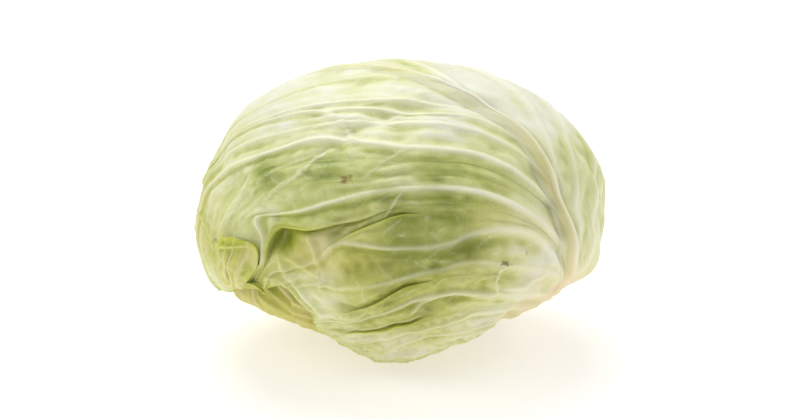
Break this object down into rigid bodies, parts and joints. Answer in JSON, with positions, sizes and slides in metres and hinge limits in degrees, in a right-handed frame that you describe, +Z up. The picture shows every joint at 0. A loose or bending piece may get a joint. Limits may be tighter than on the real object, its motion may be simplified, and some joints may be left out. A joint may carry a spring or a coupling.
{
  "type": "cabbage head",
  "caption": "Smooth-leaved pale green cabbage head lying on its side, with broad ribbed wrapper leaves folded round a dense heart and a short cut stem.",
  "frame": {"origin": "middle of the small flat spot under the head that it rests on", "axes": "+X towards the stem end along the head's length, +Z up, +Y away from the side that shows the front leaf"},
  "size_m": [0.1998, 0.1636, 0.1363],
  "materials": {
    "stem_cut": "pale cream cut stem, dull and slightly moist",
    "heart_leaf": "pale yellow tight leaves, waxy",
    "inner_leaf": "pale yellow-green leaf, waxy",
    "wrapper_leaf": "pale green leaf with cream ribs, waxy with a soft sheen"
  },
  "bodies": {
    "root": {"stem": "stem_cut", "heart": "heart_leaf", "inner_leaf_2": "inner_leaf", "inner_leaf_1": "inner_leaf", "wrapper_leaf_4": "wrapper_leaf", "wrapper_leaf_3": "wrapper_leaf", "wrapper_leaf_2": "wrapper_leaf", "wrapper_leaf_1": "wrapper_leaf"}
  },
  "joints": []
}
